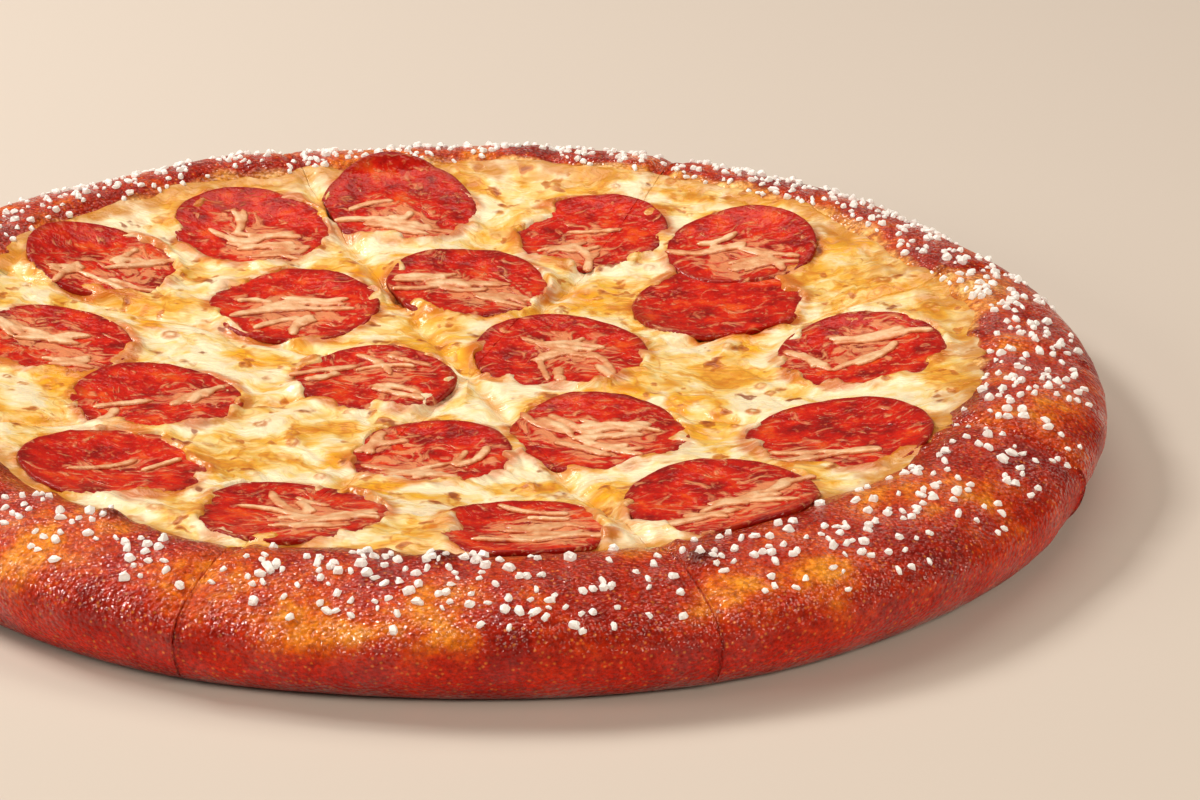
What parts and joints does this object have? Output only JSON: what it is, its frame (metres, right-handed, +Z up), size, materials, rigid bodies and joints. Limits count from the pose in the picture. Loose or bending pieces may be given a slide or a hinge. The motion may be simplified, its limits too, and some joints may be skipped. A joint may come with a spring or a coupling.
{
  "type": "pepperoni pizza",
  "caption": "Round pepperoni pizza with a raised glossy pretzel crust and coarse salt, cut into wedge slices that still lie together as a whole.",
  "frame": {"origin": "on the flat underside, where the four cuts cross, within a few millimetres of the middle of the pizza's box", "axes": "+Z up through the toppings, -Y towards the side that is nearest the viewer in the picture, +X to the right of the picture"},
  "size_m": [0.3528, 0.3522, 0.0307],
  "materials": {
    "pretzel_crust": "glossy red-brown baked dough with fine blisters and white salt",
    "melted_cheese": "creamy melted cheese with orange and toasted patches",
    "pepperoni": "greasy red cured meat with paler specks",
    "coarse_salt": "rough white grains"
  },
  "bodies": {
    "root": {"cheese_slice_1": "melted_cheese", "cheese_slice_2": "melted_cheese", "cheese_slice_3": "melted_cheese", "cheese_slice_4": "melted_cheese", "cheese_slice_5": "melted_cheese", "cheese_slice_6": "melted_cheese", "cheese_slice_7": "melted_cheese", "cheese_slice_8": "melted_cheese", "crust_slice_1": "pretzel_crust", "crust_slice_2": "pretzel_crust", "crust_slice_3": "pretzel_crust", "crust_slice_4": "pretzel_crust", "crust_slice_5": "pretzel_crust", "crust_slice_6": "pretzel_crust", "crust_slice_7": "pretzel_crust", "crust_slice_8": "pretzel_crust", "pepperoni_01_slice_3": "pepperoni", "pepperoni_02_slice_3": "pepperoni", "pepperoni_03_slice_3": "pepperoni", "pepperoni_04_slice_2": "pepperoni", "pepperoni_05_slice_4": "pepperoni", "pepperoni_06_slice_4": "pepperoni", "pepperoni_06_slice_5": "pepperoni", "pepperoni_07_slice_5": "pepperoni", "pepperoni_08_slice_5": "pepperoni", "pepperoni_08_slice_6": "pepperoni", "pepperoni_09_slice_3": "pepperoni", "pepperoni_09_slice_4": "pepperoni", "pepperoni_09_slice_5": "pepperoni", "pepperoni_10_slice_2": "pepperoni", "pepperoni_11_slice_1": "pepperoni", "pepperoni_11_slice_2": "pepperoni", "pepperoni_12_slice_1": "pepperoni", "pepperoni_12_slice_2": "pepperoni", "pepperoni_12_slice_8": "pepperoni", "pepperoni_13_slice_1": "pepperoni", "pepperoni_14_slice_1": "pepperoni", "pepperoni_15_slice_8": "pepperoni", "pepperoni_16_slice_7": "pepperoni", "pepperoni_16_slice_8": "pepperoni", "pepperoni_17_slice_6": "pepperoni", "pepperoni_17_slice_7": "pepperoni", "pepperoni_18_slice_5": "pepperoni", "pepperoni_18_slice_6": "pepperoni", "pepperoni_19_slice_6": "pepperoni", "pepperoni_20_slice_7": "pepperoni"}
  },
  "joints": []
}
